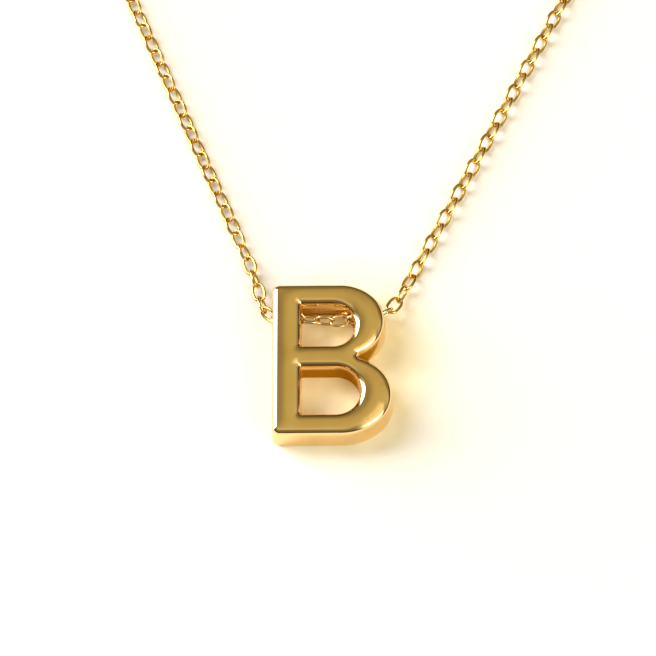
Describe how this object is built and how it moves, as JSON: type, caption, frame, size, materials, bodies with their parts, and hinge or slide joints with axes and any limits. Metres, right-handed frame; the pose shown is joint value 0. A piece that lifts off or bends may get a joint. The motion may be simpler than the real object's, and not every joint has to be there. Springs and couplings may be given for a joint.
{
  "type": "initial pendant on a chain",
  "caption": "Polished slide letter pendant lying flat, threaded through its cross hole on a fine cable chain closed by a plain clasp.",
  "frame": {"origin": "middle of the letter's flat back, on the surface that the piece lies on", "axes": "+Y to the letter's top, from which the chain runs to its clasp; +Z out of the letter's polished front; +X to the letter's right"},
  "size_m": [0.1127, 0.1909, 0.0032],
  "materials": {
    "polished_gold": "gold plate, mirror polished",
    "chain_gold": "gold plate, bright drawn wire",
    "clasp_gold": "gold plate, polished"
  },
  "bodies": {
    "root": {"letter": "polished_gold", "chain": "chain_gold", "clasp": "clasp_gold"}
  },
  "joints": []
}
